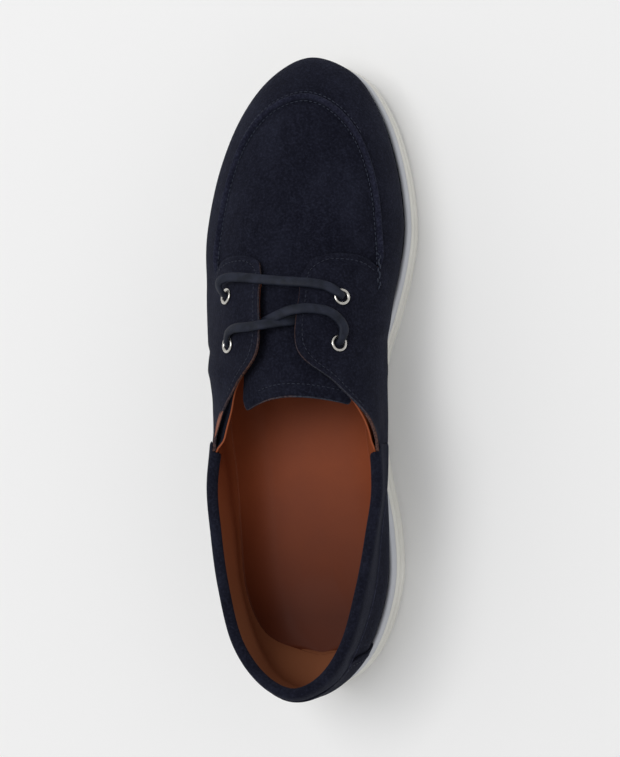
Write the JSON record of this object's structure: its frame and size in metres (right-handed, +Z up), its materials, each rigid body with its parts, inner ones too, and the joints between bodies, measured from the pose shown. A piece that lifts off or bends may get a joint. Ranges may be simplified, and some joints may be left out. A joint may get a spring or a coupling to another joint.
{
  "type": "boat shoe",
  "caption": "Low left boat shoe with an apron toe, eyelet tabs, lace, tongue and padded heel collar on a flat cup sole.",
  "frame": {"origin": "middle of the shoe's box, on the floor that the sole stands on", "axes": "+Y from heel to toe, +X to the medial (inner) side, +Z up"},
  "size_m": [0.0924, 0.2894, 0.0847],
  "materials": {
    "suede": "napped suede, matt",
    "rubber": "moulded, satin",
    "leather": "smooth lining leather",
    "lace": "waxed cord, satin",
    "nickel": "polished"
  },
  "bodies": {
    "root": {"sole": "rubber", "insole": "leather", "upper": "suede", "heel_collar": "suede", "heel_patch": "suede", "tongue": "suede", "eyelet_front_medial": "nickel", "eyelet_rear_medial": "nickel", "eyelet_front_lateral": "nickel", "eyelet_rear_lateral": "nickel", "lace_front_bar": "lace", "lace_crossing": "lace"}
  },
  "joints": []
}
